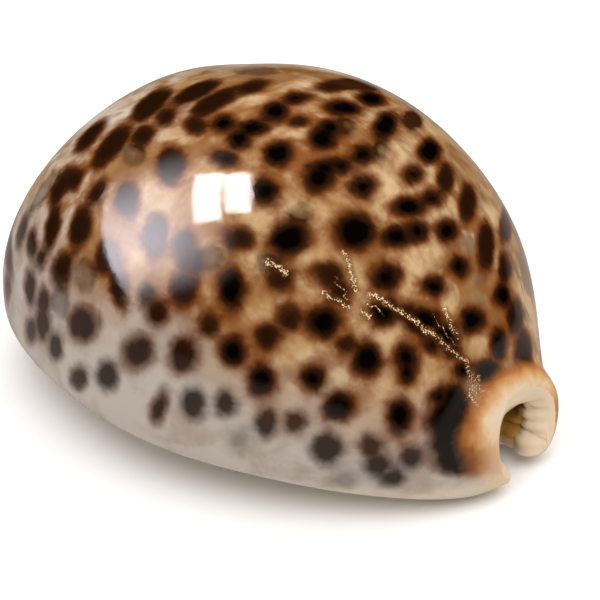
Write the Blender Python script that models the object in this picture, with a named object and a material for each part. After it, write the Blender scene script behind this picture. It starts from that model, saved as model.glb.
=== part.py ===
"""Tiger cowrie shell, one grown piece, lying on its base with the back up.

+X runs to the front (anterior) end, -Y to the outer lip, +Z up. The origin is on the resting
plane, under the middle of the shell's bounding box.

The wall is a loft. At each station along the length its section is a C that is open at the
bottom, where the aperture is: over the outside from the outer lip to the inner lip, round the
inner lip, back along the hollow, and round the outer lip. At both ends the wall closes to a
rounded rim, which makes the arched channels. The teeth of both lips, and the ridges on the
inner lip in the front channel, are tapered tubes that are joined to it.

Lengths below are millimetres, and MM turns them into metres when a mesh is made.
"""

import math

import bmesh
import bpy
import numpy as np

MM = 0.001

LENGTH = 85.0
HALF = LENGTH / 2

# Each row is a station: its place as a share of the length from the middle, the reach to the
# outer-lip side, the reach to the inner-lip side, the height of the back and of the widest line.
STATIONS = (
    (-0.50, 5.5, 9.5, 14.0, 7.5),
    (-0.47, 16.0, 15.5, 21.5, 10.0),
    (-0.42, 23.5, 21.0, 29.5, 11.5),
    (-0.34, 29.0, 26.0, 37.0, 12.0),
    (-0.22, 33.0, 29.5, 41.5, 12.0),
    (-0.08, 35.0, 31.0, 45.0, 11.5),
    (0.06, 34.0, 31.0, 45.0, 10.5),
    (0.19, 30.5, 28.5, 41.0, 10.0),
    (0.30, 25.5, 24.0, 33.5, 8.5),
    (0.38, 20.0, 17.0, 25.0, 6.5),
    (0.44, 15.0, 11.5, 18.0, 5.5),
    (0.48, 10.5, 10.0, 14.5, 5.5),
    (0.50, 6.0, 8.0, 12.0, 5.5),
)
BACK_POWER = 2.15  # superellipse power of the section above its widest line
BASE_POWER = 2.6  # and below it

# Wall thickness, measured up or across: at mid length, near the back end, near the front end.
WALL_TOP = (2.2, 8.0, 5.9)
WALL_SIDE = (2.8, 6.0, 5.2)
LIP_RADIUS = 2.6
LIP_THINNING = 0.9  # how much smaller it is in the front channel
RIM_LENGTH = 3.2  # length over which the wall rounds off to its rim
RIM_LIFT = 0.9  # how far the base rises in that length

APERTURE_BACK = 4.8
APERTURE_MIDDLE = 5.4
APERTURE_FRONT = 5.4
APERTURE_FLARE = 3.0  # how far the aperture widens in the rim's length
APERTURE_CURL = 3.0  # how far the aperture bends to the inner-lip side at the back end

# The base rises to the lips, and what would be lowest is worn flat, so the shell rests on it.
BASE_RISE = 1.2
BASE_RISE_WIDTH = 4.0
BASE_FLAT = 0.75

# How far the arch of each channel lies behind its side lobes, and how far in that is felt.
NOTCH_FRONT = 3.5
NOTCH_FRONT_REACH = 8.0
NOTCH_BACK = 1.5
NOTCH_BACK_REACH = 6.0
ARCH_LEAN = 1.5  # the front arch leans to the inner-lip side
BACK_LOBE = 2.0  # the outer lip runs further back than the inner lip
BACK_LOBE_BLEND = 12.0

# The columella shows as a swelling along the inside of the base.
FOLD_HEIGHT = 9.0
FOLD_PLACE = 11.0
FOLD_WIDTH = 6.0

SPIRE = (-38.5, 7.0, 22.0)  # centre of the sunken, covered spire
SPIRE_DEPTH = 1.0
SPIRE_RADIUS = 3.5

STATION_COUNT = 43
CONTOUR_POINTS = 33
LIP_POINTS = 3
FINE_POINTS = 400  # samples of a contour before its points are spaced out
BASE_CROWDING = 1.0  # how much closer a section's points stand on the base than on the back

TOOTH_PITCH = 3.2
TOOTH_RADIUS = 1.0
TOOTH_RELIEF = 0.55
OUTER_TEETH = (-35.0, 36.0)  # first and last place along the length
INNER_TEETH = (-33.0, 34.0)
TOOTH_ON_BASE = 4.0  # how far a tooth runs out on the base from the lip's lowest line
TOOTH_START = 0.35  # share of a tooth over which it rises from the base
TOOTH_END = 0.15
TOOTH_POINTS = 7

RIDGE_HEIGHTS = (2.3, 3.8, 5.3, 6.8, 8.2)
RIDGE_SPAN = (38.2, 41.6)
RIDGE_RADIUS = 0.75
RIDGE_RELIEF = 0.4
RIDGE_POINTS = 5

BURIED = 1.4  # the ends of a tooth lie this much of their radius under the surface
ROLL_POINTS = 12  # fine points round a lip, for the lines of teeth and ridges

MERGE = 0.000001


def spline(knots, values, places):
    """Natural cubic spline through the knots, read at the places."""
    count = len(knots)
    gaps = np.diff(knots)
    slopes = np.diff(values) / gaps
    system = np.eye(count)
    change = np.zeros(count)
    for i in range(1, count - 1):
        system[i, i - 1:i + 2] = gaps[i - 1], 2 * (gaps[i - 1] + gaps[i]), gaps[i]
        change[i] = 6 * (slopes[i] - slopes[i - 1])
    bend = np.linalg.solve(system, change)
    k = np.clip(np.searchsorted(knots, places) - 1, 0, count - 2)
    here = places - knots[k]
    start = slopes[k] - gaps[k] * (2 * bend[k] + bend[k + 1]) / 6
    third = (bend[k + 1] - bend[k]) / (6 * gaps[k])
    return values[k] + here * (start + here * (bend[k] / 2 + here * third))


def ease(value):
    """Smooth step from 0 to 1."""
    share = np.clip(value, 0.0, 1.0)
    return share * share * (3 - 2 * share)


def along(x):
    """Share of the half turn that takes the place x from the back end to the front end."""
    return np.arccos(np.clip(-x / HALF, -1.0, 1.0)) / math.pi


STATION_TABLE = np.array(STATIONS)
STATION_TURNS = along(STATION_TABLE[:, 0] * LENGTH)


class Station:
    """Sizes of the section at one place along the length."""

    def __init__(self, turn):
        self.x = -HALF * math.cos(math.pi * turn)
        sizes = [spline(STATION_TURNS, STATION_TABLE[:, i], turn) for i in range(1, 5)]
        self.outer_reach, self.inner_reach, self.top, self.middle = (float(s) for s in sizes)

        to_end = min(HALF - abs(self.x), RIM_LENGTH) / RIM_LENGTH
        solid = math.sqrt(max(0.0, 1 - (1 - to_end) ** 2))
        near_end = float(ease((abs(self.x) / HALF - 0.55) / 0.4))
        self.solid = solid
        end = 1 if self.x < 0 else 2
        self.wall_top = solid * (WALL_TOP[0] + (WALL_TOP[end] - WALL_TOP[0]) * near_end)
        self.wall_side = solid * (WALL_SIDE[0] + (WALL_SIDE[end] - WALL_SIDE[0]) * near_end)
        self.fold = FOLD_HEIGHT * solid * (1 - near_end)

        front = max(0.0, self.x / HALF)
        back = max(0.0, -self.x / HALF)
        self.base = RIM_LIFT * (1 - solid)
        self.gap = APERTURE_MIDDLE + (APERTURE_FRONT - APERTURE_MIDDLE) * front
        self.gap += (APERTURE_BACK - APERTURE_MIDDLE) * back + APERTURE_FLARE * (1 - solid)
        self.slit = APERTURE_CURL * back ** 2
        room = min(self.outer_reach + self.slit, self.inner_reach - self.slit)
        room -= self.wall_side + self.gap / 2
        lip = LIP_RADIUS - LIP_THINNING * float(ease((self.x / HALF - 0.65) / 0.2))
        self.lip = max(0.0, min(solid * lip, 0.9 * room))

        self.front_end = float(ease(1 - (HALF - self.x) / NOTCH_FRONT_REACH))
        self.back_end = float(ease(1 - (HALF + self.x) / NOTCH_BACK_REACH))


def even(points, count):
    """The same number of evenly spaced points along a fine line of points."""
    steps = np.linalg.norm(np.diff(points, axis=0), axis=1)
    run = np.concatenate(([0.0], np.cumsum(steps)))
    marks = np.linspace(0.0, run[-1], count)
    return np.column_stack([np.interp(marks, run, points[:, i]) for i in range(points.shape[1])])


def contour(station, inside):
    """Fine line of (y, z) from the outer lip over the back to the inner lip."""
    side, top = (station.wall_side, station.wall_top) if inside else (0.0, 0.0)
    lift = station.base + (2 * station.lip if inside else 0.0)
    spare = 0.9
    turn = np.linspace(1.5 * math.pi + spare, -0.5 * math.pi - spare, FINE_POINTS)
    across, rise = np.cos(turn), np.sin(turn)
    reach = np.where(across < 0, station.outer_reach, station.inner_reach) - side
    middle = max(station.middle, lift + 0.35 * (station.top - lift)) if inside else station.middle
    power = np.where(rise < 0, BASE_POWER, BACK_POWER)
    y = reach * np.sign(across) * np.abs(across) ** (2 / power)
    height = np.where(rise < 0, lift - middle, station.top - top - middle)
    z = middle + height * np.abs(rise) ** (2 / power)

    low = np.clip(1 - (z - lift) / (middle - lift), 0.0, 1.0)
    from_lip = np.maximum(np.abs(y - station.slit) - station.gap / 2 - station.lip, 0.0)
    z += low * BASE_RISE * np.exp(-(from_lip / BASE_RISE_WIDTH) ** 2)
    z = np.maximum(z - low * BASE_FLAT, lift)
    if inside:
        share = np.clip((station.top - top - z) / (station.top - top - lift), 0.0, 1.0)
        z += station.fold * share ** 1.5 * np.exp(-((y - FOLD_PLACE) / FOLD_WIDTH) ** 2)

    lip_line = station.gap / 2 + station.lip
    start, stop = station.slit - lip_line, station.slit + lip_line
    half = FINE_POINTS // 2
    first = int(np.argmax(y[:half] <= start))
    last = FINE_POINTS - 1 - int(np.argmax(y[::-1][:half] >= stop))
    z_start = np.interp(-start, -y[first - 1:first + 1], z[first - 1:first + 1])
    z_stop = np.interp(-stop, -y[last:last + 2], z[last:last + 2])
    y = np.concatenate(([start], y[first:last + 1], [stop]))
    z = np.concatenate(([z_start], z[first:last + 1], [z_stop]))
    return np.column_stack((y, z))


def roll(centre, radius, side, count):
    """Points of a lip's round edge, from the base up to the hollow; side is the way it faces."""
    turn = np.linspace(-math.pi / 2, math.pi / 2, count + 2)[1:-1]
    return np.column_stack((centre[0] + side * radius * np.cos(turn),
                            centre[1] + radius + radius * np.sin(turn)))


def crowded(line, middle, count):
    """Points along a fine line of points, closer where it is low, under the height of the middle."""
    low = np.clip(1 - line[:, 1] / middle, 0.0, 1.0)
    weight = 1 + BASE_CROWDING * (low[1:] + low[:-1]) / 2
    steps = np.linalg.norm(np.diff(line, axis=0), axis=1) * weight
    run = np.concatenate(([0.0], np.cumsum(steps)))
    marks = np.linspace(0.0, run[-1], count)
    return np.column_stack([np.interp(marks, run, line[:, i]) for i in range(2)])


def both_sides(station, count):
    """The outside and the hollow of a section as the same number of points, in the same order."""
    outside = crowded(contour(station, False), station.middle, count)
    hollow = contour(station, True)
    hollow[0, 1] = outside[0, 1] + 2 * station.lip
    hollow[-1, 1] = outside[-1, 1] + 2 * station.lip
    return outside, crowded(hollow, station.middle, count)


def place(station, points, top):
    """Points of a section in space, with the notches and lobes of both ends and the arch's lean.

    The top is that of the side of the wall that the points are on, the outside or the hollow.
    """
    y, z = points[:, 0], points[:, 1]
    level = np.clip(z / top, 0.0, 1.0)
    x = station.x - NOTCH_FRONT * station.front_end * level ** 1.5
    x = x + NOTCH_BACK * station.back_end * level ** 1.5
    x = x + BACK_LOBE * station.back_end * ease((y - station.slit) / BACK_LOBE_BLEND + 0.5)
    return np.column_stack((x, y + ARCH_LEAN * station.front_end * level, z))


def section(station, contour_points, lip_points):
    """Closed ring in space: outside, inner lip, hollow, outer lip."""
    outside, hollow = both_sides(station, contour_points)
    skin = place(station, outside, station.top)
    away = np.linalg.norm(skin - SPIRE, axis=1) / SPIRE_RADIUS
    skin[:, 0] += SPIRE_DEPTH * station.solid * np.exp(-away ** 2)
    inner_lip = roll(outside[-1], station.lip, -1, lip_points)
    outer_lip = roll(outside[0], station.lip, 1, lip_points)
    hollow_side = np.concatenate((inner_lip, hollow[::-1], outer_lip[::-1]))
    return np.concatenate((skin, place(station, hollow_side, station.top - station.wall_top)))


def new_object(name, mesh, collection):
    thing = bpy.data.objects.new(name, mesh)
    collection.objects.link(thing)
    return thing


def new_collection(name):
    collection = bpy.data.collections.new(name)
    bpy.context.scene.collection.children.link(collection)
    return collection


def glossy_material():
    """Cream enamel with a clear gloss."""
    material = bpy.data.materials.new("cowrie enamel")
    material.use_nodes = True
    shader = material.node_tree.nodes["Principled BSDF"]
    shader.inputs["Base Color"].default_value = (0.62, 0.5, 0.38, 1.0)
    shader.inputs["Roughness"].default_value = 0.12
    shader.inputs["Metallic"].default_value = 0.0
    shader.inputs["Coat Weight"].default_value = 1.0
    return material


def wall_mesh():
    """Closed loft of the wall; each end's outside and hollow meet in one rim."""
    rows = []
    for turn in np.linspace(0.0, 1.0, STATION_COUNT):
        station = Station(turn)
        rows.append(section(station, CONTOUR_POINTS, LIP_POINTS))
    size = len(rows[0])

    build = bmesh.new()
    verts = [[build.verts.new(point * MM) for point in row] for row in rows]
    for here, ahead in zip(verts, verts[1:]):
        for j in range(size):
            k = (j + 1) % size
            build.faces.new((here[j], ahead[j], ahead[k], here[k]))
    bmesh.ops.remove_doubles(build, verts=build.verts, dist=MERGE)
    bmesh.ops.recalc_face_normals(build, faces=build.faces)
    mesh = bpy.data.meshes.new("shell wall")
    build.to_mesh(mesh)
    build.free()
    mesh.shade_smooth()
    return mesh


def tooth_line(x, side):
    """Points and radii of one tooth, from the base round the lip; side is -1 for the outer lip."""
    station = Station(along(x))
    outside = contour(station, False)
    if side > 0:
        outside = outside[::-1]
    lip = roll(outside[0], station.lip, -side, ROLL_POINTS)
    run = np.concatenate(([0.0], np.cumsum(np.linalg.norm(np.diff(outside, axis=0), axis=1))))
    marks = np.linspace(TOOTH_ON_BASE, 0.0, ROLL_POINTS)
    base = np.column_stack([np.interp(marks, run, outside[:, i]) for i in range(2)])
    line = even(np.concatenate((base, lip)), TOOTH_POINTS)

    ahead = np.gradient(line, axis=0)
    ahead /= np.linalg.norm(ahead, axis=1)[:, None]
    inward = np.column_stack((ahead[:, 1], -ahead[:, 0])) * side
    share = np.linspace(0.0, 1.0, TOOTH_POINTS)
    rise = ease(share / TOOTH_START) * ease((1 - share) / TOOTH_END)
    radius = TOOTH_RADIUS * (0.5 + 0.5 * rise)
    depth = BURIED * radius - (TOOTH_RELIEF + (BURIED - 1) * TOOTH_RADIUS) * rise
    return place(station, line + inward * depth[:, None], station.top), radius


def ridge_line(height):
    """Points and radii of one ridge on the inner lip's wall in the front channel."""
    points = []
    rise = np.sin(math.pi * np.linspace(0.0, 1.0, RIDGE_POINTS)) ** 0.5
    radius = RIDGE_RADIUS * (0.5 + 0.5 * rise)
    depth = BURIED * radius - (RIDGE_RELIEF + (BURIED - 1) * RIDGE_RADIUS) * rise
    for x, deep in zip(np.linspace(*RIDGE_SPAN, RIDGE_POINTS), depth):
        station = Station(along(x))
        hollow = contour(station, True)
        lip = roll(contour(station, False)[-1], station.lip, -1, ROLL_POINTS)
        wall = np.concatenate((hollow[len(hollow) // 2:], lip[::-1]))
        y = wall[int(np.argmax(wall[:, 1] <= height)), 0]
        point = np.array([[y + deep, height]])
        points.append(place(station, point, station.top - station.wall_top)[0])
    return np.array(points), radius


def spaced(span):
    """Even places along the length from the first to the last."""
    return np.linspace(*span, round((span[1] - span[0]) / TOOTH_PITCH) + 1)


def tooth_mesh():
    """One mesh of all teeth and ridges, each a closed tapered tube."""
    curve = bpy.data.curves.new("teeth", "CURVE")
    curve.dimensions = "3D"
    curve.bevel_depth = MM
    curve.bevel_resolution = 1
    curve.use_fill_caps = True
    lines = [tooth_line(x, -1) for x in spaced(OUTER_TEETH)]
    lines += [tooth_line(x, 1) for x in spaced(INNER_TEETH)]
    lines += [ridge_line(height) for height in RIDGE_HEIGHTS]
    for points, radius in lines:
        run = curve.splines.new("POLY")
        run.points.add(len(points) - 1)
        for knot, point, size in zip(run.points, points, radius):
            knot.co = (*(point * MM), 1.0)
            knot.radius = size

    thing = new_object("tooth curves", curve, bpy.context.scene.collection)
    bpy.context.view_layer.update()
    mesh = bpy.data.meshes.new_from_object(thing.evaluated_get(bpy.context.evaluated_depsgraph_get()))
    mesh.name = "teeth"
    bpy.data.objects.remove(thing)
    build = bmesh.new()
    build.from_mesh(mesh)
    bmesh.ops.remove_doubles(build, verts=build.verts, dist=MERGE)
    bmesh.ops.recalc_face_normals(build, faces=build.faces)
    build.to_mesh(mesh)
    build.free()
    return mesh


def centre_on_base(*meshes):
    """Moves the meshes together, so the first one's box is centred over the origin."""
    places = np.array([vertex.co for vertex in meshes[0].vertices])
    low, high = places.min(axis=0), places.max(axis=0)
    for mesh in meshes:
        for vertex in mesh.vertices:
            vertex.co.x -= (low[0] + high[0]) / 2
            vertex.co.y -= (low[1] + high[1]) / 2
            vertex.co.z -= low[2]


def build_shell():
    for thing in list(bpy.data.objects):
        bpy.data.objects.remove(thing)
    parts = new_collection("cowrie shell")
    cutters = new_collection("joined shapes")

    wall = wall_mesh()
    teeth = tooth_mesh()
    centre_on_base(wall, teeth)
    shell = new_object("shell", wall, parts)
    shell.data.materials.append(glossy_material())

    relief = new_object("teeth", teeth, cutters)
    relief.hide_render = True
    relief.display_type = "WIRE"
    join = shell.modifiers.new("join teeth", "BOOLEAN")
    join.operation = "UNION"
    join.solver = "EXACT"
    join.object = relief


build_shell()
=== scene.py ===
import bpy
import math
import numpy as np
from mathutils import Matrix, Vector


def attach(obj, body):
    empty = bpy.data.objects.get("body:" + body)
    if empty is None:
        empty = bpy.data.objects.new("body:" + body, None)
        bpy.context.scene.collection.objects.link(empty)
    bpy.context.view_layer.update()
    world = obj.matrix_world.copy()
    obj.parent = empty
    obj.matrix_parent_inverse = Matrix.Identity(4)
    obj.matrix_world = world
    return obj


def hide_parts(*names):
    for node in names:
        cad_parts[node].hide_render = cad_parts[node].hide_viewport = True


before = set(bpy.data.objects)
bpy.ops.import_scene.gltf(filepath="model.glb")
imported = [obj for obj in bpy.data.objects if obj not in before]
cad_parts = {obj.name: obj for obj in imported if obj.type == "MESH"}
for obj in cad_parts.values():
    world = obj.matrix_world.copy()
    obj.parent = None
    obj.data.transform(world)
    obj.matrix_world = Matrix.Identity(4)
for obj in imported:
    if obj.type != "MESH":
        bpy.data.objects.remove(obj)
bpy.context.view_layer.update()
print("frame loaded")

mm = 0.001

# the photo's view: the camera stands back from the target and looks a little past it, in mm
view = {
    "azimuth": 40.0,
    "elevation": 32.0,
    "distance": 320.0,
    "focalPixels": 2220.0,
    "framePixels": 600.0,
    "target": (0.1, 1.85, 20.0),
    "aimRight": 1.21,
    "aimDown": 6.56,
    "sensor": 36.0,
    "nearest": 0.01,        # nearest that the camera sees, in metres
}

# the shell's form in mm, as the solid has it, with a wider front channel. A station is a place along
# the length from -0.5 to 0.5, the reach to the outer-lip side, the reach to the inner-lip side, the
# height of the back and the height of the widest line. A pair of place and reach under one name is a
# share of the half length where something starts to change, and over how much of it that happens.
form = {
    "length": 85.0,
    "stations": (
        (-0.50, 5.5, 9.5, 14.0, 7.5),
        (-0.47, 16.0, 15.5, 21.5, 10.0),
        (-0.42, 23.5, 21.0, 29.5, 11.5),
        (-0.34, 29.0, 26.0, 37.0, 12.0),
        (-0.22, 33.0, 29.5, 41.5, 12.0),
        (-0.08, 35.0, 31.0, 45.0, 11.5),
        (0.06, 34.0, 31.0, 45.0, 10.5),
        (0.19, 30.5, 28.5, 41.0, 10.0),
        (0.30, 25.5, 24.0, 33.5, 8.5),
        (0.38, 20.0, 17.0, 25.0, 6.5),
        (0.44, 15.0, 11.5, 18.0, 5.5),
        (0.48, 10.5, 10.0, 14.5, 5.5),
        (0.50, 6.0, 8.0, 12.0, 5.5),
    ),
    "backPower": 2.15,
    "basePower": 2.6,
    "wallTop": (2.2, 8.0, 6.9),     # mid length, back end, front end
    "wallSide": (2.8, 6.0, 5.2),
    "wallChange": (0.55, 0.4),
    "lipRadius": 2.6,
    "lipThinning": 0.9,
    "lipThinningChange": (0.65, 0.2),
    "lipRoom": 0.9,                 # most of the room beside the slit that a lip takes
    "rimLength": 3.2,
    "rimLift": 0.9,
    "aperture": (5.4, 4.8),         # middle and front, back
    "apertureFlare": 3.0,
    "apertureCurl": 3.0,
    "baseRise": 1.2,
    "baseRiseWidth": 4.0,
    "baseFlat": 0.75,
    "notchFront": 3.5,
    "notchFrontReach": 8.0,
    "notchBack": 1.5,
    "notchBackReach": 6.0,
    "notchCurve": 1.5,
    "archLean": 1.5,
    "lobeTuck": 1.9,                # the inner lip's lobe bends in under the arch of the front channel
    "lobeTuckReach": 9.0,
    "lobeTuckWidth": 4.0,
    "lobeTuckHeight": 9.0,
    "channelSpread": 2.2,           # how much the front channel widens towards the inner lip
    "channelRoom": 0.95,            # and the most of the room inside the wall that it takes
    "backLobe": 2.0,
    "backLobeBlend": 12.0,
    "foldHeight": 9.0,
    "foldPlace": 11.0,
    "foldWidth": 6.0,
    "foldCurve": 1.5,
    "hollowMiddle": 0.35,           # lowest that the hollow's widest line lies, as a share of the height
    "spire": (-38.5, 7.0, 22.0),
    "spireDepth": 1.0,
    "spireRadius": 3.5,
}

# how finely the surface is laid out: stations along, points over the outside, round each lip, inside
grid = {
    "stations": 300,
    "outside": 210,
    "lip": 14,
    "hollow": 72,
    "hollowCrowding": 1.6,
    "fine": 900,            # points that a line is worked out with before it is laid out
    "overlap": 0.9,         # how far past its lowest point that line runs, in radians
    "merge": 0.0000012,     # in metres
}

# teeth of the lips and ridges of the front channel, in mm. A fade is how far one takes to end.
teeth = {
    "pitch": 3.2,
    "outer": (-36.5, 37.5),
    "inner": (-34.5, 35.5),
    "relief": 0.55,
    "onBase": 4.6,          # how far a tooth runs out over the base
    "sharpness": 1.7,
    "endFade": 2.0,
    "baseFade": 0.45,       # as a share of onBase
    "insideFade": 1.2,
    "insideColumns": 6,     # columns of the hollow that a tooth may reach
    "ridgePitch": 1.45,
    "ridgeFirst": 1.6,
    "ridgeLast": 9.6,
    "ridgeSpan": (35.5, 42.5),
    "ridgeRelief": 0.55,
    "ridgeSharpness": 1.4,
    "ridgeFade": (2.0, 1.3),
    "ridgeFootFade": 0.8,
    "ridgeFoot": 0.6,       # as a share of ridgeFootFade
    "ridgeTopFade": 1.2,
    "ridgeColumns": 46,
    "wallFacing": 0.1,      # how far a wall faces the channel before ridges start on it
    "wallFacingFade": 0.4,
}


def spline(knots, values, places):
    # smooth curve through the knots
    count = len(knots)
    gaps = np.diff(knots)
    slopes = np.diff(values) / gaps
    system = np.eye(count)
    change = np.zeros(count)
    for i in range(1, count - 1):
        system[i, i - 1:i + 2] = gaps[i - 1], 2 * (gaps[i - 1] + gaps[i]), gaps[i]
        change[i] = 6 * (slopes[i] - slopes[i - 1])
    bend = np.linalg.solve(system, change)
    k = np.clip(np.searchsorted(knots, places) - 1, 0, count - 2)
    here = places - knots[k]
    start = slopes[k] - gaps[k] * (2 * bend[k] + bend[k + 1]) / 6
    third = (bend[k + 1] - bend[k]) / (6 * gaps[k])
    return values[k] + here * (start + here * (bend[k] / 2 + here * third))


def ease(value):
    # smooth step from 0 to 1
    share = np.clip(value, 0.0, 1.0)
    return share * share * (3 - 2 * share)


half = form["length"] / 2
stationTable = np.array(form["stations"])


def turnAt(x):
    # stations are spaced by turn, from 0 to 1, so they stand closer towards both ends
    return np.arccos(np.clip(-x / half, -1.0, 1.0)) / math.pi


class Section:
    # sizes of the section at one place along the length

    def __init__(self, turn):
        self.x = -half * math.cos(math.pi * turn)
        knots = turnAt(stationTable[:, 0] * form["length"])
        sizes = [float(spline(knots, stationTable[:, i], turn)) for i in range(1, 5)]
        self.outerReach, self.innerReach, self.top, self.middle = sizes
        toEnd = min(half - abs(self.x), form["rimLength"]) / form["rimLength"]
        self.solid = math.sqrt(max(0.0, 1 - (1 - toEnd) ** 2))
        share = self.x / half
        start, reach = form["wallChange"]
        nearEnd = float(ease((abs(share) - start) / reach))
        end = 1 if self.x < 0 else 2
        wallTop, wallSide = form["wallTop"], form["wallSide"]
        self.wallTop = self.solid * (wallTop[0] + (wallTop[end] - wallTop[0]) * nearEnd)
        self.wallSide = self.solid * (wallSide[0] + (wallSide[end] - wallSide[0]) * nearEnd)
        self.fold = form["foldHeight"] * self.solid * (1 - nearEnd)
        back = max(0.0, -share)
        self.base = form["rimLift"] * (1 - self.solid)
        self.gap = form["aperture"][0] + (form["aperture"][1] - form["aperture"][0]) * back
        self.gap += form["apertureFlare"] * (1 - self.solid)
        self.slit = form["apertureCurl"] * back ** 2
        room = min(self.outerReach + self.slit, self.innerReach - self.slit)
        room -= self.wallSide + self.gap / 2
        start, reach = form["lipThinningChange"]
        lip = form["lipRadius"] - form["lipThinning"] * float(ease((share - start) / reach))
        self.lip = max(0.0, min(self.solid * lip, form["lipRoom"] * room))
        self.frontEnd = float(ease(1 - (half - self.x) / form["notchFrontReach"]))
        self.backEnd = float(ease(1 - (half + self.x) / form["notchBackReach"]))
        self.outerLine = self.gap / 2 + self.lip
        widest = form["channelRoom"] * (self.innerReach - self.wallSide) - self.slit
        spread = min(self.outerLine + form["channelSpread"] * self.frontEnd, widest)
        self.innerLine = max(self.outerLine, spread)


def spaced(points, shares):
    # points at the given shares of a line's length
    steps = np.linalg.norm(np.diff(points, axis=0), axis=1)
    run = np.concatenate(([0.0], np.cumsum(steps)))
    return np.column_stack([np.interp(shares * run[-1], run, points[:, i]) for i in range(2)])


def contour(section, inside):
    # line of (y, z) from the outer lip over the back to the inner lip
    side, top = (section.wallSide, section.wallTop) if inside else (0.0, 0.0)
    lift = section.base + (2 * section.lip if inside else 0.0)
    turn = np.linspace(1.5 * math.pi + grid["overlap"], -0.5 * math.pi - grid["overlap"], grid["fine"])
    across, rise = np.cos(turn), np.sin(turn)
    reach = np.where(across < 0, section.outerReach, section.innerReach) - side
    middle = section.middle
    if inside:
        middle = max(middle, lift + form["hollowMiddle"] * (section.top - lift))
    power = np.where(rise < 0, form["basePower"], form["backPower"])
    y = reach * np.sign(across) * np.abs(across) ** (2 / power)
    height = np.where(rise < 0, lift - middle, section.top - top - middle)
    z = middle + height * np.abs(rise) ** (2 / power)
    low = np.clip(1 - (z - lift) / (middle - lift), 0.0, 1.0)
    fromLip = np.maximum(np.abs(y - section.slit) - section.gap / 2 - section.lip, 0.0)
    z += low * form["baseRise"] * np.exp(-(fromLip / form["baseRiseWidth"]) ** 2)
    z = np.maximum(z - low * form["baseFlat"], lift)
    if inside:
        share = np.clip((section.top - top - z) / (section.top - top - lift), 0.0, 1.0) ** form["foldCurve"]
        z += section.fold * share * np.exp(-((y - form["foldPlace"]) / form["foldWidth"]) ** 2)
    start, stop = section.slit - section.outerLine, section.slit + section.innerLine
    middleIndex = grid["fine"] // 2
    first = int(np.argmax(y[:middleIndex] <= start))
    last = grid["fine"] - 1 - int(np.argmax(y[::-1][:middleIndex] >= stop))
    zStart = np.interp(-start, -y[first - 1:first + 1], z[first - 1:first + 1])
    zStop = np.interp(-stop, -y[last:last + 2], z[last:last + 2])
    y = np.concatenate(([start], y[first:last + 1], [stop]))
    z = np.concatenate(([zStart], z[first:last + 1], [zStop]))
    return np.column_stack((y, z))


def roll(centre, radius, side):
    # the rounded edge of a lip
    turn = np.linspace(-math.pi / 2, math.pi / 2, grid["lip"] + 2)[1:-1]
    return np.column_stack((centre[0] + side * radius * np.cos(turn),
                            centre[1] + radius + radius * np.sin(turn)))


def place(section, points, top):
    # a section's points in space, with the notches and lobes of both ends and the arch's lean
    y, z = points[:, 0], points[:, 1]
    level = np.clip(z / top, 0.0, 1.0)
    curve = form["notchCurve"]
    x = np.full(len(points), section.x) - form["notchFront"] * section.frontEnd * level ** curve
    x = x + form["notchBack"] * section.backEnd * level ** curve
    x = x + form["backLobe"] * section.backEnd * ease((y - section.slit) / form["backLobeBlend"] + 0.5)
    tuck = form["lobeTuck"] * ease(1 - (half - section.x) / form["lobeTuckReach"])
    tuck = tuck * ease((y - section.slit) / form["lobeTuckWidth"]) * ease(1 - z / form["lobeTuckHeight"])
    return np.column_stack((x, y + form["archLean"] * section.frontEnd * level - tuck, z))


def ringAt(turn):
    # one ring of points: over the outside, round the inner lip, through the hollow, round the outer lip
    section = Section(turn)
    # the hollow takes some of the outside's shares, so that both can meet in one edge at the ends
    shares = np.linspace(0.0, 1.0, grid["outside"])
    outside = spaced(contour(section, False), shares)
    hollow = contour(section, True)
    hollow[0, 1] = outside[0, 1] + 2 * section.lip
    hollow[-1, 1] = outside[-1, 1] + 2 * section.lip
    hollow = spaced(hollow, shares[hollowColumns])
    skin = place(section, outside, section.top)
    away = np.linalg.norm(skin - form["spire"], axis=1) / form["spireRadius"]
    skin[:, 0] += form["spireDepth"] * section.solid * np.exp(-away ** 2)
    innerLip = roll(outside[-1], section.lip, -1)
    outerLip = roll(outside[0], section.lip, 1)
    hollowSide = np.concatenate((innerLip, hollow[::-1], outerLip[::-1]))
    return np.concatenate((skin, place(section, hollowSide, section.top - section.wallTop)))


# the hollow's columns stand closer on the inner-lip side, where the ridges of the channel show
columnPlaces = np.linspace(0.0, 1.0, grid["hollow"])
columnPlaces = 1 - (1 - columnPlaces) ** grid["hollowCrowding"]
hollowColumns = np.unique(np.round(columnPlaces * (grid["outside"] - 1)).astype(int))

stationTurns = np.linspace(0.0, 1.0, grid["stations"])
rings = np.array([ringAt(turn) for turn in stationTurns])
# at both ends the outside and the hollow share one edge
apart = np.abs(hollowColumns[None, :] - np.arange(grid["outside"])[:, None])
nearest = hollowColumns[apart.argmin(axis=1)]
for end in (0, -1):
    rings[end, :grid["outside"]] = rings[end, nearest]
sections = [Section(turn) for turn in stationTurns]
skinCount = grid["outside"]
ringCount = rings.shape[1]
print("surface laid out", rings.shape)


def surfaceNormals(points):
    across = np.roll(points, -1, axis=1) - np.roll(points, 1, axis=1)
    ahead = np.gradient(points, axis=0)
    facing = np.cross(across, ahead)
    size = np.linalg.norm(facing, axis=2, keepdims=True)
    return facing / np.maximum(size, 1e-9)


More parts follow.
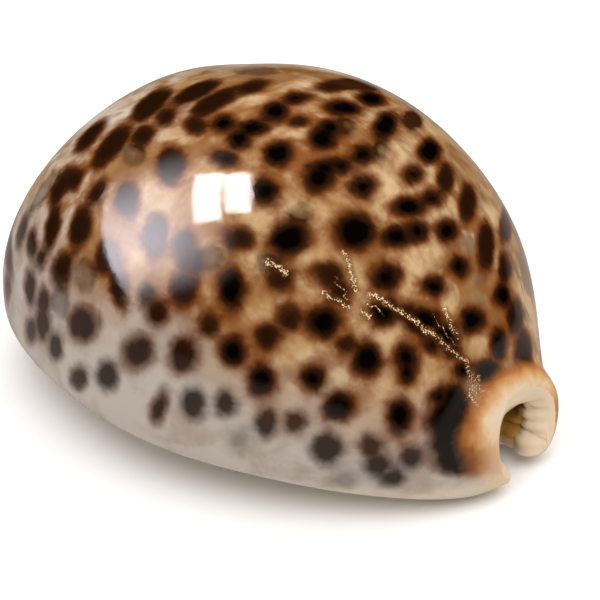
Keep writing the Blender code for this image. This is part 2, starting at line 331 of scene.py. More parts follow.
def raiseTeeth(points):
    # teeth and ridges rise out of the surface, along its own normals
    normals = surfaceNormals(points)
    if normals[grid["stations"] // 2, skinCount // 2, 2] < 0:
        normals = -normals
    stationX = np.array([section.x for section in sections])
    lip = grid["lip"]
    inward = teeth["insideColumns"]
    outerStart = ringCount - lip - inward
    raised = points.copy()
    sides = {
        "inner": np.arange(skinCount // 2, skinCount + lip + inward),
        "outer": np.concatenate((np.arange(outerStart, ringCount), np.arange(0, skinCount // 2))),
    }
    for side, columns in sides.items():
        first, last = teeth[side]
        wave = (stationX - first) / (last - first)
        count = round((last - first) / teeth["pitch"])
        bump = np.abs(np.cos(math.pi * wave * count)) ** teeth["sharpness"]
        bump = bump * ease((stationX - first) / teeth["endFade"] + 0.5)
        bump = bump * ease((last - stationX) / teeth["endFade"] + 0.5)
        line = points[:, columns]
        steps = np.linalg.norm(np.diff(line, axis=1), axis=2)
        run = np.concatenate((np.zeros((len(line), 1)), np.cumsum(steps, axis=1)), axis=1)
        # onBase is measured from the lowest line of the lip out over the base
        if side == "inner":
            mark = skinCount - 1 - columns[0]
            onBase = run[:, mark:mark + 1] - run
        else:
            mark = ringCount - outerStart
            onBase = run - run[:, mark:mark + 1]
        lipTurn = np.array([section.lip for section in sections])[:, None] * math.pi
        fade = ease((teeth["onBase"] - onBase) / (teeth["baseFade"] * teeth["onBase"]))
        fade = fade * ease((onBase + lipTurn) / teeth["insideFade"])
        raised[:, columns] += normals[:, columns] * (teeth["relief"] * bump[:, None] * fade)[:, :, None]
    # ridges of the front channel, one over the other on the wall of the inner lip
    wall = np.arange(skinCount + 2, skinCount + lip + teeth["ridgeColumns"])
    z = points[:, wall, 2]
    aboveFirst = z - teeth["ridgeFirst"]
    ridge = np.abs(np.cos(math.pi * aboveFirst / teeth["ridgePitch"])) ** teeth["ridgeSharpness"]
    foot = ease(aboveFirst / teeth["ridgeFootFade"] + teeth["ridgeFoot"])
    ridge *= foot * ease((teeth["ridgeLast"] - z) / teeth["ridgeTopFade"])
    start, stop = teeth["ridgeSpan"]
    startFade, stopFade = teeth["ridgeFade"]
    reach = ease((stationX - start) / startFade) * ease((stop - stationX) / stopFade)
    channel = ease((-teeth["wallFacing"] - normals[:, wall, 1]) / teeth["wallFacingFade"])
    relief = teeth["ridgeRelief"] * ridge * reach[:, None] * channel
    raised[:, wall] += normals[:, wall] * relief[:, :, None]
    return raised


rings = raiseTeeth(rings)


def shapeShell():
    # one closed skin, from a grid whose points take their places on the rings
    low, high = rings.reshape(-1, 3).min(axis=0), rings.reshape(-1, 3).max(axis=0)
    centre = np.array(((low[0] + high[0]) / 2, (low[1] + high[1]) / 2, low[2]))
    places = (rings - centre) * mm
    places = np.concatenate((places, places[:, :1]), axis=1)
    bpy.ops.object.select_all(action="DESELECT")
    bpy.ops.mesh.primitive_grid_add(x_subdivisions=ringCount, y_subdivisions=grid["stations"] - 1, size=1.0)
    piece = bpy.context.active_object
    piece.name = "cowrieShell"
    mesh = piece.data
    flat = np.empty(len(mesh.vertices) * 3)
    mesh.vertices.foreach_get("co", flat)
    flat = flat.reshape(-1, 3)
    column = np.round((flat[:, 0] + 0.5) * ringCount).astype(int)
    row = np.round((flat[:, 1] + 0.5) * (grid["stations"] - 1)).astype(int)
    mesh.vertices.foreach_set("co", places[row, column].ravel())
    for name, values in (("row", row), ("column", column % ringCount)):
        mesh.attributes.new(name, "FLOAT", "POINT").data.foreach_set("value", values.astype(np.float32))
    bpy.ops.object.mode_set(mode="EDIT")
    bpy.ops.mesh.select_all(action="SELECT")
    bpy.ops.mesh.remove_doubles(threshold=grid["merge"])
    bpy.ops.mesh.normals_make_consistent(inside=False)
    bpy.ops.object.mode_set(mode="OBJECT")
    bpy.ops.object.shade_smooth()
    return piece


shell = shapeShell()
print("shell piece", len(shell.data.polygons), "faces")


def placeCamera():
    # the camera looks at the shell as in the photo
    turn, lift = math.radians(view["azimuth"]), math.radians(view["elevation"])
    back = Vector((math.sin(turn) * math.cos(lift), -math.cos(turn) * math.cos(lift), math.sin(lift)))
    right = Vector((math.cos(turn), math.sin(turn), 0.0))
    up = back.cross(right)
    place = Vector(view["target"]) + back * view["distance"]
    aim = Vector(view["target"]) + right * view["aimRight"] - up * view["aimDown"]
    camera = bpy.data.cameras.new("photoCamera")
    camera.sensor_width = view["sensor"]
    camera.lens = view["sensor"] * view["focalPixels"] / view["framePixels"]
    camera.clip_start = view["nearest"]
    holder = bpy.data.objects.new("photoCamera", camera)
    bpy.context.scene.collection.objects.link(holder)
    holder.location = place * mm
    holder.rotation_euler = (place - aim).to_track_quat("Z", "Y").to_euler()
    bpy.context.scene.camera = holder
    bpy.context.view_layer.update()
    return holder


camera = placeCamera()


def rayThrough(x, y):
    # direction from the camera through a place in the photo
    middle = view["framePixels"] / 2
    across, down = x - middle, y - middle
    return (camera.matrix_world.to_3x3() @ Vector((across, -down, -view["focalPixels"]))).normalized()


def onShell(x, y):
    # place and normal on the shell, in mm, that a place in the photo shows
    hit, spot, normal, face = shell.ray_cast(camera.location, rayThrough(x, y))
    return (np.array(spot) * 1000, np.array(normal)) if hit else (None, None)


# dark spots of the back, as the photo shows them: x, y, half width, half height and, where needed, the
# turn in degrees against the clock. The name of a group is the shade of its spots.
spotsInPhoto = {
    "blotch": ((455, 405, 15, 20), (452, 422, 22, 25), (458, 444, 28, 22), (459, 462, 26, 13)),
    "black": (
        (290, 238, 21, 16, 25), (231, 288, 14, 20), (355, 231, 20, 18), (323, 321, 16, 17),
        (384, 311, 13, 14), (367, 359, 15, 17), (261, 380, 13, 15), (233, 352, 13, 15),
        (338, 407, 14, 14), (407, 357, 12, 14), (399, 415, 12, 17), (313, 378, 12, 13),
        (424, 321, 18, 14), (444, 335, 15, 12), (408, 312, 9, 8), (472, 321, 12, 13),
        (487, 371, 13, 11), (463, 371, 9, 10), (499, 345, 8, 15), (440, 397, 8, 8), (386, 277, 14, 14),
        (432, 345, 7, 7), (363, 186, 13, 11), (318, 178, 15, 14), (325, 168, 12, 9), (341, 166, 11, 8),
        (363, 155, 12, 10), (322, 138, 14, 12), (331, 128, 11, 8), (278, 153, 15, 13, 20),
        (265, 193, 13, 13), (275, 112, 13, 10), (240, 138, 12, 10), (253, 128, 14, 8),
        (409, 207, 16, 9), (432, 199, 10, 8), (413, 174, 9, 9), (430, 151, 11, 12), (396, 237, 14, 11),
        (417, 231, 12, 10), (447, 231, 11, 11), (459, 266, 9, 10), (434, 285, 10, 10),
        (503, 295, 8, 12), (386, 124, 11, 16, -35), (344, 108, 18, 8, -8), (371, 98, 14, 7, -15),
        (297, 98, 12, 6, 5), (223, 123, 11, 9, 10), (225, 158, 13, 7, -10), (407, 372, 7, 10),
    ),
    "brown": (
        (196, 91, 24, 7, 25), (215, 101, 26, 8, 28), (251, 87, 15, 6, 15), (152, 103, 22, 9, 38),
        (112, 145, 25, 9, 50), (90, 135, 19, 6, 46), (166, 117, 9, 7, 20), (195, 125, 10, 8),
        (143, 136, 11, 8, 40), (107, 258, 11, 15), (119, 287, 8, 19, 12), (80, 227, 9, 21, -15),
        (61, 271, 9, 18, -8), (60, 187, 6, 20, -28), (52, 226, 6, 20, -12), (73, 180, 7, 11, -30),
        (97, 192, 6, 12, -30), (30, 288, 5, 17), (43, 303, 6, 13), (22, 230, 4, 17, -15),
        (32, 245, 5, 14), (8, 252, 3, 24), (7, 288, 3, 14), (157, 313, 10, 13), (184, 290, 12, 16),
        (138, 352, 15, 16), (184, 355, 14, 17), (82, 325, 14, 17), (209, 325, 9, 11),
        (268, 336, 12, 12), (289, 319, 11, 11), (159, 407, 7, 14, -15), (281, 279, 12, 11),
        (329, 275, 14, 12), (340, 291, 10, 12), (333, 86, 15, 5), (42, 325, 7, 15), (468, 201, 8, 18),
        (486, 245, 8, 24), (524, 352, 8, 20), (505, 268, 6, 15), (516, 315, 7, 16), (446, 178, 8, 14),
        (506, 225, 5, 16), (562, 405, 5, 24), (452, 352, 9, 7), (41, 259, 5, 8), (346, 345, 8, 8),
        (298, 121, 9, 5), (170, 163, 13, 18, -15), (127, 202, 11, 15), (155, 235, 11, 19),
        (183, 245, 11, 13), (238, 238, 13, 10),
    ),
    "grey": (
        (190, 260, 11, 13), (55, 346, 7, 13), (31, 331, 6, 12), (78, 378, 8, 11), (107, 375, 10, 13),
        (193, 405, 11, 15), (226, 403, 10, 12), (266, 424, 11, 13), (295, 422, 10, 11),
        (327, 449, 15, 15), (378, 466, 14, 11), (411, 459, 11, 11), (371, 445, 10, 10),
        (392, 477, 12, 8), (413, 119, 10, 18, -30), (357, 84, 24, 5, -8), (147, 295, 8, 10),
    ),
    "faint": (
        (134, 155, 10, 10), (84, 275, 10, 14), (210, 258, 12, 12), (254, 70, 24, 4),
        (44, 190, 6, 24, -35), (268, 262, 12, 9), (300, 215, 12, 10), (60, 300, 8, 16),
        (380, 150, 8, 10), (345, 125, 9, 8), (240, 440, 9, 10), (345, 480, 10, 7),
    ),
}

spotLook = {
    "shade": {"blotch": 1.0, "black": 1.0, "brown": 0.72, "grey": 0.42, "faint": 0.16},
    "largest": 3.9,         # longest half axis of a spot, in mm
    "largestBlotch": 7.0,
    "lowestView": 0.12,     # least share of a spot's true depth that the photo is taken to show
    "joining": 0.35,        # how softly close spots run into one another
    "shadeJoining": 0.7,
    "reach": 16.0,          # how far round its middle a spot is worked out
    "depth": 1.5,           # how deep a spot is, against its half axes
    "farthest": 9.0,        # largest distance that the surface keeps
}

# spots on the side that the photo doesn't show
hiddenSpots = {
    "seed": 20,
    "tries": 6000,
    "gap": 4.3,             # least distance between two spots, in mm
    "lowGap": 0.25,         # how much wider the gap grows towards the base
    "size": (0.9, 2.1),
    "sizeOnBase": 0.75,
    "sizeGain": 0.4,
    "narrowest": 0.65,
    "shadeOnBase": 0.3,
    "shadeGain": 0.6,
    "shadeSpread": 0.2,
    "lightest": 0.15,
    "full": 30.0,           # from this height up, the largest and darkest spots
    "lowest": 7.0,          # no spots below this height
    "mostTurned": -0.55,    # nor where the surface faces down more than this
    "turnedFrom": 8.0,      # nor where the camera lies more than this in front of the surface, in mm
}

# where the two lobes of the mantle met, a broken line of small golden scars, whose bright specks are partly
# painted glints of light
scarsInPhoto = (
    ((345, 253), (350, 268), (355, 290)),
    ((370, 295), (401, 311), (421, 325), (429, 332), (450, 349), (466, 363), (472, 385), (469, 395),
     (480, 408)),
    ((444, 310), (457, 337)),
    ((478, 378), (480, 389), (490, 390), (493, 400), (508, 403)),
    ((268, 262), (285, 273)),
    ((323, 293), (347, 307)),
    ((363, 311), (369, 316)),
)
scarFade = {"ends": 0.8, "from": 1.0, "over": 2.0}      # in mm


def spotAxes(x, y, width, height, turn, centre, normal, largest):
    # half axes on the surface of a spot that the photo shows as an ellipse
    angle = math.radians(turn)
    eye = np.array(camera.location) * 1000
    axes = []
    for reachX, reachY in ((width * math.cos(angle), -width * math.sin(angle)),
                           (height * math.sin(angle), height * math.cos(angle))):
        ray = np.array(rayThrough(x + reachX, y + reachY))
        facing = min(ray @ normal, -spotLook["lowestView"])
        axis = eye + ray * (((centre - eye) @ normal) / facing) - centre
        axis = axis - (axis @ normal) * normal
        length = np.linalg.norm(axis)
        axes.append(axis * min(1.0, largest / length))
    return axes


def readShell():
    mesh = shell.data
    count = len(mesh.vertices)
    places, normals = np.empty(count * 3), np.empty(count * 3)
    mesh.vertices.foreach_get("co", places)
    mesh.vertices.foreach_get("normal", normals)
    row, column = np.empty(count), np.empty(count)
    mesh.attributes["row"].data.foreach_get("value", row)
    mesh.attributes["column"].data.foreach_get("value", column)
    return places.reshape(-1, 3) * 1000, normals.reshape(-1, 3), row.astype(int), column.astype(int)


places, normals, rows, columns = readShell()
onSkin = columns < skinCount


def spotList():
    spots = []
    for shade, group in spotsInPhoto.items():
        for x, y, width, height, *turn in group:
            centre, normal = onShell(x, y)
            if centre is None:
                continue
            largest = spotLook["largestBlotch" if shade == "blotch" else "largest"]
            angle = turn[0] if turn else 0.0
            first, second = spotAxes(x, y, width, height, angle, centre, normal, largest)
            spots.append((centre, normal, first, second, spotLook["shade"][shade]))
    shown = len(spots)
    # the side that the photo doesn't show gets spots of the same sizes, kept apart
    rule = hiddenSpots
    chance = np.random.default_rng(rule["seed"])
    eye = np.array(camera.location) * 1000
    away = ((eye - places) * normals).sum(axis=1) < rule["turnedFrom"]
    isHigh = places[:, 2] > rule["lowest"]
    free = np.flatnonzero(onSkin & away & isHigh & (normals[:, 2] > rule["mostTurned"]))
    taken = np.array([spot[0] for spot in spots])
    for index in chance.permutation(free)[:rule["tries"]]:
        centre, normal = places[index], normals[index]
        high = min(1.0, centre[2] / rule["full"])
        gap = rule["gap"] * (1 + rule["lowGap"] - rule["lowGap"] * high)
        if np.linalg.norm(taken - centre, axis=1).min() < gap:
            continue
        size = chance.uniform(*rule["size"]) * (rule["sizeOnBase"] + rule["sizeGain"] * high)
        first = np.cross(normal, chance.normal(size=3))
        first *= size / np.linalg.norm(first)
        second = np.cross(normal, first) * chance.uniform(rule["narrowest"], 1.0)
        shade = chance.normal(rule["shadeOnBase"] + rule["shadeGain"] * high, rule["shadeSpread"])
        shade = np.clip(shade, rule["lightest"], 1.0)
        spots.append((centre, normal, first, second, shade))
        taken = np.vstack((taken, centre))
    print("spots", shown, "seen and", len(spots) - shown, "hidden")
    return spots


def spotFields(spots):
    # distance in mm to the edge of the nearest spot, less than 0 inside, and that spot's shade
    nothing = 1e-12
    weight = np.full(len(places), nothing)
    shade = np.zeros(len(places))
    soft, farthest = spotLook["joining"], spotLook["farthest"]
    union = np.zeros(len(places))
    for centre, normal, first, second, tone in spots:
        offset = places - centre
        close = np.flatnonzero((np.abs(offset).max(axis=1) < spotLook["reach"]) & onSkin)
        offset = offset[close]
        gram = np.array(((first @ first, first @ second), (first @ second, second @ second)))
        u, v = np.linalg.inv(gram) @ np.array((offset @ first, offset @ second))
        size = math.sqrt(math.sqrt(gram[0, 0] * gram[1, 1]))
        depth = (offset @ normal) / (spotLook["depth"] * size)
        distance = (np.sqrt(u ** 2 + v ** 2 + depth ** 2) - 1) * size
        union[close] += np.exp(-np.clip(distance / soft, -12, 30))
        share = np.exp(-np.clip(distance / spotLook["shadeJoining"], -12, 30))
        weight[close] += share
        shade[close] += share * tone
    joined = np.where(union > nothing, -soft * np.log(np.maximum(union, nothing)), farthest)
    return np.minimum(joined, farthest), shade / weight


def scarFields():
    # signed distance in mm to the nearest scar line, and how much of the scar there is
    farthest = spotLook["farthest"]
    best = np.full(len(places), np.inf)
    signed = np.full(len(places), farthest)
    share = np.zeros(len(places))
    for line in scarsInPhoto:
        knots = [onShell(x, y) for x, y in line]
        knots = [knot for knot in knots if knot[0] is not None]
        for k, ((start, normal), (stop, after)) in enumerate(zip(knots, knots[1:])):
            along = stop - start
            length = np.linalg.norm(along)
            along = along / length
            side = np.cross(along, normal + after)
            side /= np.linalg.norm(side)
            offset = places - start
            run = offset @ along
            reach = np.clip(run, 0.0, length)
            distance = np.linalg.norm(offset - reach[:, None] * along, axis=1)
            isBetter = (distance < best) & onSkin
            best = np.where(isBetter, distance, best)
            signed = np.where(isBetter, offset @ side, signed)
            past = np.maximum(-run if k == 0 else 0.0, run - length if k == len(knots) - 2 else 0.0)
            share = np.where(isBetter, ease(1 - past / scarFade["ends"]), share)
    share = share * ease(1 - (best - scarFade["from"]) / scarFade["over"])
    return np.clip(signed, -farthest, farthest), share


# how far from an end the surface keeps the distance to it, and the strip, in mm across the shell,
# where the outer-lip side turns into the inner-lip side
fieldReach = {"ends": 30.0, "innerFrom": -6.0, "innerOver": 16.0}


def paintFields():
    # what the colours follow is kept on the surface as its own attributes, in mm or as a share
    spot, shade = spotFields(spotList())
    scar, scarShare = scarFields()
    stationX = np.array([section.x for section in sections])[rows]
    fields = {
        "spot": spot,
        "shade": shade,
        "scar": scar,
        "scarShare": scarShare,
        "toFront": np.clip(half - stationX, 0.0, fieldReach["ends"]),
        "toBack": np.clip(half + stationX, 0.0, fieldReach["ends"]),
        "inside": (columns >= skinCount).astype(float),
        "height": places[:, 2],
        "innerSide": ease((places[:, 1] - fieldReach["innerFrom"]) / fieldReach["innerOver"]),
    }
    mesh = shell.data
    for name in ("row", "column"):
        mesh.attributes.remove(mesh.attributes[name])
    for name, values in fields.items():
        layer = mesh.attributes.new(name, "FLOAT", "POINT")
        layer.data.foreach_set("value", np.ascontiguousarray(values, dtype=np.float32))
    print("fields on the surface:", ", ".join(fields))


paintFields()


class Wire:
    # an output socket that adds Math nodes when it is reckoned with

    def __init__(self, graph, socket):
        self.graph = graph
        self.socket = socket

    def math(self, operation, first, second):
        return self.graph.make("ShaderNodeMath", {"operation": operation}, {0: first, 1: second})

    def __add__(self, other):
        return self.math("ADD", self, other)

    def __radd__(self, other):
        return self.math("ADD", other, self)

    def __sub__(self, other):
        return self.math("SUBTRACT", self, other)

    def __rsub__(self, other):
        return self.math("SUBTRACT", other, self)

    def __mul__(self, other):
        return self.math("MULTIPLY", self, other)

    def __rmul__(self, other):
        return self.math("MULTIPLY", other, self)

    def __truediv__(self, other):
        return self.math("DIVIDE", self, other)

    def least(self, other):
        return self.math("MINIMUM", self, other)

    def size(self):
        return self.graph.make("ShaderNodeMath", {"operation": "ABSOLUTE"}, {0: self})

    def step(self, low, high):
        # smooth step from 0 at low to 1 at high
        return self.graph.make("ShaderNodeMapRange", {"interpolation_type": "SMOOTHSTEP"},
                               {"Value": self, "From Min": low, "From Max": high})


class Graph:
    # a material's nodes

    def __init__(self, name):
        self.material = bpy.data.materials.new(name)
        self.material.use_nodes = True
        self.tree = self.material.node_tree
        self.shader = self.tree.nodes["Principled BSDF"]

    def put(self, socket, value):
        if isinstance(value, Wire):
            self.tree.links.new(value.socket, socket)
        elif isinstance(value, tuple) and len(value) == 3 and socket.type == "RGBA":
            socket.default_value = (*value, 1.0)
        else:
            socket.default_value = value

    def make(self, kind, settings, sockets, out=0):
        node = self.tree.nodes.new(kind)
        for name, value in settings.items():
            setattr(node, name, value)
        for name, value in sockets.items():
            self.put(node.inputs[name], value)
        return Wire(self, node.outputs[out])

    def finish(self, sockets):
        for name, value in sockets.items():
            self.put(self.shader.inputs[name], value)
        return self.material

    def mix(self, share, first, second):
        # a Mix node's sockets 0, 6 and 7 are the share and the two colours, and output 2 is the colour
        return self.make("ShaderNodeMix", {"data_type": "RGBA"}, {0: share, 6: first, 7: second}, 2)

    def field(self, name):
        return self.make("ShaderNodeAttribute", {"attribute_name": name}, {}, "Fac")

    def placeInMillimetres(self):
        place = self.make("ShaderNodeTexCoord", {}, {}, "Object")
        return self.make("ShaderNodeVectorMath", {"operation": "SCALE"}, {0: place, "Scale": 1000.0})

    def noise(self, place, size, detail=2.0, rough=0.5, warp=0.0):
        # size is the width of one blotch, in mm
        return self.make("ShaderNodeTexNoise", {}, {"Vector": place, "Scale": 1.0 / size, "Detail": detail,
                                                    "Roughness": rough, "Distortion": warp})


# colours; noise sizes and spans in mm. A span is where a colour starts and where it is full.
enamel = {
    "tan": (0.27, 0.125, 0.045),
    "gold": (0.41, 0.235, 0.10),
    "cream": (0.57, 0.455, 0.36),
    "creamGold": (0.55, 0.37, 0.20),
    "amber": (0.150, 0.036, 0.004),
    "cloud": (0.20, 0.068, 0.014),
    "flank": (0.43, 0.375, 0.325),
    "flankShade": (0.30, 0.235, 0.185),
    "base": (0.57, 0.48, 0.365),
    "black": (0.0014, 0.0008, 0.0006),
    "brown": (0.036, 0.0105, 0.003),
    "grey": (0.022, 0.014, 0.009),
    "streak": (0.15, 0.095, 0.060),
    "rimOrange": (0.42, 0.15, 0.040),
    "rimGold": (0.62, 0.37, 0.165),
    "rimCream": (0.66, 0.51, 0.355),
    # brown deep inside the hollow, partly its own colour and partly painted shade
    "hollow": (0.42, 0.20, 0.035),
    # bright gold of the scar specks, partly the scar's own colour and partly a painted glint
    "scar": (0.80, 0.60, 0.32),
    "scarBed": (0.10, 0.025, 0.006),
    "broadSize": 15.0,
    "burntSize": 8.0,
    "cloudSize": 6.0,
    "streakSize": 3.2,
    "streakStretch": (0.2, 1.0, 0.7),
    "edgeSize": 2.4,
    "fineSize": 1.5,
    "grainSize": 0.24,
    "crackleSize": 0.16,
    "flankTop": (33.0, 23.0),       # how high the pale flank reaches: mid length, front end
    "flankFade": 15.0,
    "flankWander": (14.0, 12.0),    # how far its upper line wanders, broadly and in clouds
    "innerDrop": 22.0,              # how much lower it stays on the inner-lip side
    "frontSpan": (5.0, 32.0),
    "baseSpan": (6.2, 2.8),
    "goldSpan": (-16.0, 14.0),      # along the length, where the cream turns golden
    "goldPerHeight": 0.6,
    "goldHeight": 30.0,
    "halo": 1.65,                   # width of the amber ring round a spot
    "spotGrowth": 0.2,              # how much larger spots are drawn than laid out
    "spotBlur": 0.56,
    "scarWidth": 0.30,
    "scarBedWidth": 0.90,
    "rimOrangeSpan": (4.2, 1.9),
    "rimGoldSpan": (2.6, 1.0),
    "rimCreamSpan": (1.5, 0.4),
    "archSpan": (6.5, 12.0),
    "backOrangeSpan": (3.4, 1.2),
    "backCreamSpan": (1.6, 0.4),
    # over these spans the hollow's brown, partly painted shade, comes in
    "hollowSpan": (1.8, 5.0),       # from the ends inward
    "lipSpan": (1.2, 3.8),          # and up from the lips
    "roughness": 0.07,
    "scarRoughness": 0.2,
    "ior": 1.45,
    "reliefStrength": 0.35,
    "reliefDepth": 0.0003,          # in metres
}


def enamelMaterial():
    look = enamel
    graph = Graph("cowrieEnamel")
    place = graph.placeInMillimetres()
    forward = graph.make("ShaderNodeSeparateXYZ", {}, {"Vector": place}, "X")
    height, toFront, toBack = graph.field("height"), graph.field("toFront"), graph.field("toBack")
    inside, innerSide = graph.field("inside"), graph.field("innerSide")
    broad = graph.noise(place, look["broadSize"], 2.0)
    cloud = graph.noise(place, look["cloudSize"], 3.0, 0.55, 0.4)
    fine = graph.noise(place, look["fineSize"], 3.0, 0.6)
    edge = graph.noise(place, look["edgeSize"], 2.0, 0.5, 0.4)
    grain = graph.noise(place, look["grainSize"], 2.0, 0.7)

    # how far down the side a place is: 0 on the back, 1 on the pale flank, and the cream base
    front = forward.step(*look["frontSpan"])
    line = look["flankTop"][0] + front * (look["flankTop"][1] - look["flankTop"][0])
    line = line - innerSide * look["innerDrop"]
    broadWander, cloudWander = look["flankWander"]
    depth = line - height + (broad - 0.5) * broadWander + (cloud - 0.5) * cloudWander
    flank = depth.step(0.0, look["flankFade"])
    base = (height + (cloud - 0.5) * 3.0).step(*look["baseSpan"])

    # the back's ground: tan, gold and cream in clouds, with burnt ones, and grey streaks on the far side
    golden = (forward + (height - look["goldHeight"]) * look["goldPerHeight"]).step(*look["goldSpan"])
    cream = graph.mix(golden, look["cream"], look["creamGold"])
    ground = graph.mix(cloud.step(0.38, 0.62), look["tan"], look["gold"])
    ground = graph.mix((broad * 0.6 + cloud * 0.5 + (fine - 0.5) * 0.2).step(0.50, 0.70), ground, cream)
    burnt = graph.noise(place, look["burntSize"], 2.0, 0.5, 0.8).step(0.55, 0.70)
    ground = graph.mix(burnt * 0.7, ground, look["cloud"])
    side = graph.mix(cloud.step(0.42, 0.70) * 0.8, look["flank"], look["flankShade"])
    ground = graph.mix(flank, ground, side)
    long = graph.make("ShaderNodeMapping", {}, {"Vector": place, "Scale": look["streakStretch"]})
    streak = graph.noise(long, look["streakSize"], 3.0, 0.55, 0.5).step(0.46, 0.62)
    ground = graph.mix(streak * innerSide * (0.35 + front * 0.5), ground, look["streak"])
    ground = graph.mix(base, ground, look["base"])

    # spots lie under the glaze: a soft edge, wider on the flank, and an amber ring that fades there
    spot = graph.field("spot") + (cloud - 0.5) * 1.0 + (edge - 0.5) * 1.4 + (fine - 0.5) * 0.6
    spot = spot - look["spotGrowth"]
    shade = graph.field("shade")
    blur = look["spotBlur"] + flank * 0.5 + (1 - shade) * 0.35
    ring = spot.step(look["halo"], 0.0) * (1 - flank * 0.5) * shade.step(0.2, 0.7)
    ground = graph.mix(ring * 0.9, ground, look["amber"])
    core = graph.mix((shade + (1 - flank) * 0.6).step(0.42, 0.62), look["grey"], look["brown"])
    core = graph.mix(shade.step(0.45, 0.95) * spot.step(-0.1, -1.5), core, look["black"])
    inSpot = (spot / blur).step(1.0, -0.9) * shade.step(-0.05, 0.36)
    colour = graph.mix(inSpot, ground, core)

    # golden scars along the line where the mantle closed, in a thin dark bed, with bright specks that are
    # partly the scar's gold and partly painted glints
    scar = (graph.field("scar") + (fine - 0.5) * 1.5 + (cloud - 0.5) * 0.8).size()
    healed = graph.field("scarShare").step(0.3, 0.8)
    bed = scar.step(look["scarBedWidth"], look["scarWidth"]) * healed
    colour = graph.mix(bed * 0.5, colour, look["scarBed"])
    # the bright specks are partly painted glints of light on the crease
    glitter = grain + scar * 0.25 - broad * 0.12
    scarGlints = scar.step(look["scarWidth"] * 1.6, look["scarWidth"]) * healed * glitter.step(0.445, 0.405)
    colour = graph.mix(scarGlints, colour, look["scar"])

    # the front end: orange and gold over the arch, narrower at its sides, and a cream rim
    arch = height.step(*look["archSpan"])
    wander = toFront + (cloud - 0.5) * 0.9 + (fine - 0.5) * 0.3
    wander = wander + (edge - 0.5) * 1.6 + innerSide * height.step(3.0, 7.0) * 0.7
    wander = wander + (1 - arch) * height.step(1.5, 4.0) * 1.1
    flush = wander.step(*look["rimOrangeSpan"]) * (height.step(3.5, 6.5) * 0.5 + arch * 0.4)
    colour = graph.mix(flush, colour, look["rimOrange"])
    colour = graph.mix(wander.step(*look["rimGoldSpan"]) * (0.45 + arch * 0.45), colour, look["rimGold"])
    colour = graph.mix(wander.step(*look["rimCreamSpan"]) * (0.5 + arch * 0.5), colour, look["rimCream"])

    # the back end has the same rim, without the gold, and inside both it darkens to the hollow's brown,
    # which is partly its own colour and partly painted shade that deepens away from the ends and up from
    # the lips
    worn = toBack + (cloud - 0.5) * 1.2 + (edge - 0.5) * 1.4
    flush = worn.step(*look["backOrangeSpan"]) * (0.3 + height.step(3.5, 8.0) * 0.5)
    colour = graph.mix(flush, colour, look["rimOrange"])
    colour = graph.mix(worn.step(*look["backCreamSpan"]), colour, look["rimCream"])
    deep = toFront.least(toBack).step(*look["hollowSpan"]) * height.step(*look["lipSpan"])
    colour = graph.mix(inside, colour, graph.mix(deep, look["rimCream"], look["hollow"]))

    crackle = graph.noise(place, look["crackleSize"], 2.0, 0.7)
    bumps = spot.step(0.5, -0.5) * 0.06 + scarGlints * 1.5 + cloud * 0.3 + fine * 0.05 + crackle * 0.025
    relief = graph.make("ShaderNodeBump", {}, {
        "Strength": look["reliefStrength"],
        "Distance": look["reliefDepth"],
        "Height": bumps,
    }, "Normal")
    return graph.finish({
        "Base Color": colour,
        "Roughness": look["roughness"] + scarGlints * look["scarRoughness"] + (fine - 0.5) * 0.04,
        "Normal": relief,
        "IOR": look["ior"],
    })


shell.data.materials.clear()
shell.data.materials.append(enamelMaterial())
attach(shell, "root")
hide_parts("shell")
print("enamel done")


room = {
    "floorSize": 6.0,
    "floorColour": (0.90, 0.885, 0.875),
    "floorShade": (0.87, 0.86, 0.85),
    "floorPatches": 60.0,       # in mm
    "floorRoughness": 0.8,
    "worldColour": (1.0, 0.995, 0.99),
    "worldStrength": 0.66,
}


def plainFloor():
    bpy.ops.object.select_all(action="DESELECT")
    bpy.ops.mesh.primitive_plane_add(size=room["floorSize"], location=(0, 0, 0))
    floor = bpy.context.active_object
    floor.name = "paleFloor"
    graph = Graph("palePaper")
    place = graph.placeInMillimetres()
    tone = graph.noise(place, room["floorPatches"], 2.0)
    colour = graph.mix(tone * 0.2, room["floorColour"], room["floorShade"])
    graph.finish({"Base Color": colour, "Roughness": room["floorRoughness"]})
    floor.data.materials.append(graph.material)
    floor.visible_glossy = False        # the glaze mirrors the panels alone, one of them on the floor
    world = bpy.data.worlds.new("softStudio")
    bpy.context.scene.world = world
    world.use_nodes = True
    sky = world.node_tree.nodes["Background"]
    sky.inputs["Color"].default_value = (*room["worldColour"], 1.0)
    sky.inputs["Strength"].default_value = room["worldStrength"]
    world.cycles_visibility.glossy = False


# soft panels, in metres. The overhead one lights the room, and the glaze mirrors the others: a pale floor
# and a window behind a veil. The window's corners are the places of its reflection in the photo, and
# radiance is how bright a panel is to look at. A fade runs from an edge, where the panel is dark, to
# where it has its full brightness, as shares of its width (X) or depth (Y).
panels = {
    "overhead": {"place": (0.05, 0.05, 0.80), "size": (1.5, 1.5), "radiance": 1.28, "mirrored": False},
    "paper": {"place": (0.0, 0.0, 0.0002), "facing": (0, 0, 1), "size": (0.9, 0.9), "radiance": 0.34,
              "mirrored": True, "tint": (1.0, 0.88, 0.78),
              "fades": (("X", 0.0, 0.42), ("X", 1.0, 0.58), ("Y", 0.0, 0.42), ("Y", 1.0, 0.58))},
    "leftPane": {"corners": ((196, 175), (222, 175), (222, 222), (196, 222)), "radiance": 21.0},
    "rightPane": {"corners": ((225, 174), (250, 174), (250, 214), (225, 214)), "radiance": 21.0},
    "veil": {"corners": ((132, 165), (246, 150), (262, 300), (130, 300)), "radiance": 11.0,
             "tint": (0.97, 0.93, 1.0), "fades": (("X", 1.0, 0.35), ("Y", 1.0, 0.35), ("Y", 0.0, 0.4))},
}
panelDistance = 0.5         # how far the mirrored window stands from the shell


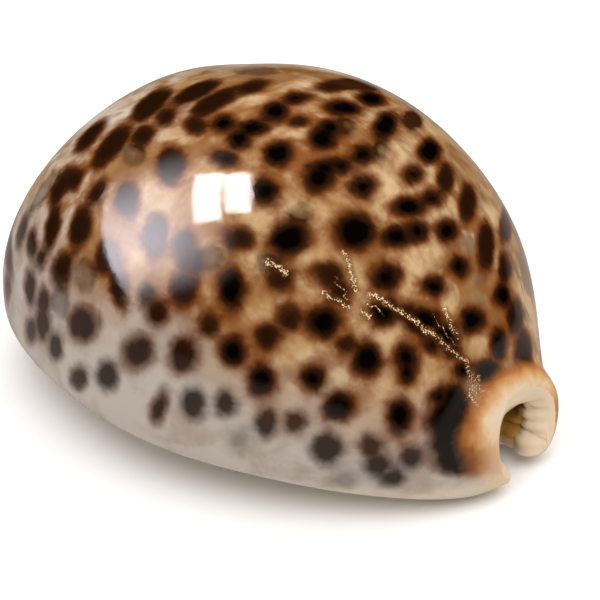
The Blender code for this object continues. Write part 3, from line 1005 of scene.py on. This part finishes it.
def softenPanel(light, fades):
    light.use_nodes = True
    nodes, links = light.node_tree.nodes, light.node_tree.links
    panelPlace = nodes.new("ShaderNodeNewGeometry").outputs["Parametric"]
    parts = nodes.new("ShaderNodeSeparateXYZ")
    links.new(panelPlace, parts.inputs["Vector"])
    shares = []
    for axis, low, high in fades:
        fade = nodes.new("ShaderNodeMapRange")
        fade.interpolation_type = "SMOOTHSTEP"
        fade.inputs["From Min"].default_value = low
        fade.inputs["From Max"].default_value = high
        links.new(parts.outputs[axis], fade.inputs["Value"])
        shares.append(fade.outputs[0])
    total = shares[0]
    for share in shares[1:]:
        times = nodes.new("ShaderNodeMath")
        times.operation = "MULTIPLY"
        links.new(total, times.inputs[0])
        links.new(share, times.inputs[1])
        total = times.outputs[0]
    links.new(total, nodes["Emission"].inputs["Strength"])


def addPanel(name, centre, facing, upward, width, depth, radiance, mirrored):
    light = bpy.data.lights.new(name, "AREA")
    light.shape = "RECTANGLE"
    light.size, light.size_y = width, depth
    light.energy = 4 * radiance * width * depth     # Blender divides a panel's power by 4 x its area
    holder = bpy.data.objects.new(name, light)
    bpy.context.scene.collection.objects.link(holder)
    back = Vector(facing).normalized() * -1
    across = Vector(upward).cross(back).normalized()
    upright = back.cross(across)
    turn = Matrix((across, upright, back)).transposed().to_4x4()
    holder.matrix_world = Matrix.Translation(centre) @ turn
    holder.visible_glossy = mirrored
    holder.visible_diffuse = not mirrored
    holder.visible_camera = False
    return holder


def mirrorPlace(x, y):
    # where in the room the glaze mirrors, at a place in the photo
    spot, normal = onShell(x, y)
    ray = np.array(rayThrough(x, y))
    back = ray - 2 * (ray @ normal) * normal
    return spot * mm + back * panelDistance


def lightRoom():
    for name, panel in panels.items():
        if "corners" in panel:
            corners = [mirrorPlace(x, y) for x, y in panel["corners"]]
            centre = sum(corners) / 4
            across = (corners[1] + corners[2] - corners[0] - corners[3]) / 2
            upward = (corners[0] + corners[1] - corners[2] - corners[3]) / 2
            width, depth = np.linalg.norm(across), np.linalg.norm(upward)
            holder = addPanel(name, centre, -centre, upward, width, depth, panel["radiance"], True)
            print(name, "at", np.round(centre, 2), "size", round(float(width), 2), round(float(depth), 2))
        else:
            facing = panel.get("facing", [-v for v in panel["place"]])
            holder = addPanel(name, panel["place"], facing, (0, 1, 0), *panel["size"], panel["radiance"],
                              panel["mirrored"])
        holder.data.color = panel.get("tint", (1, 1, 1))
        if "fades" in panel:
            softenPanel(holder.data, panel["fades"])


plainFloor()
lightRoom()
bpy.context.scene.view_settings.view_transform = "Standard"
print("room and lights done")
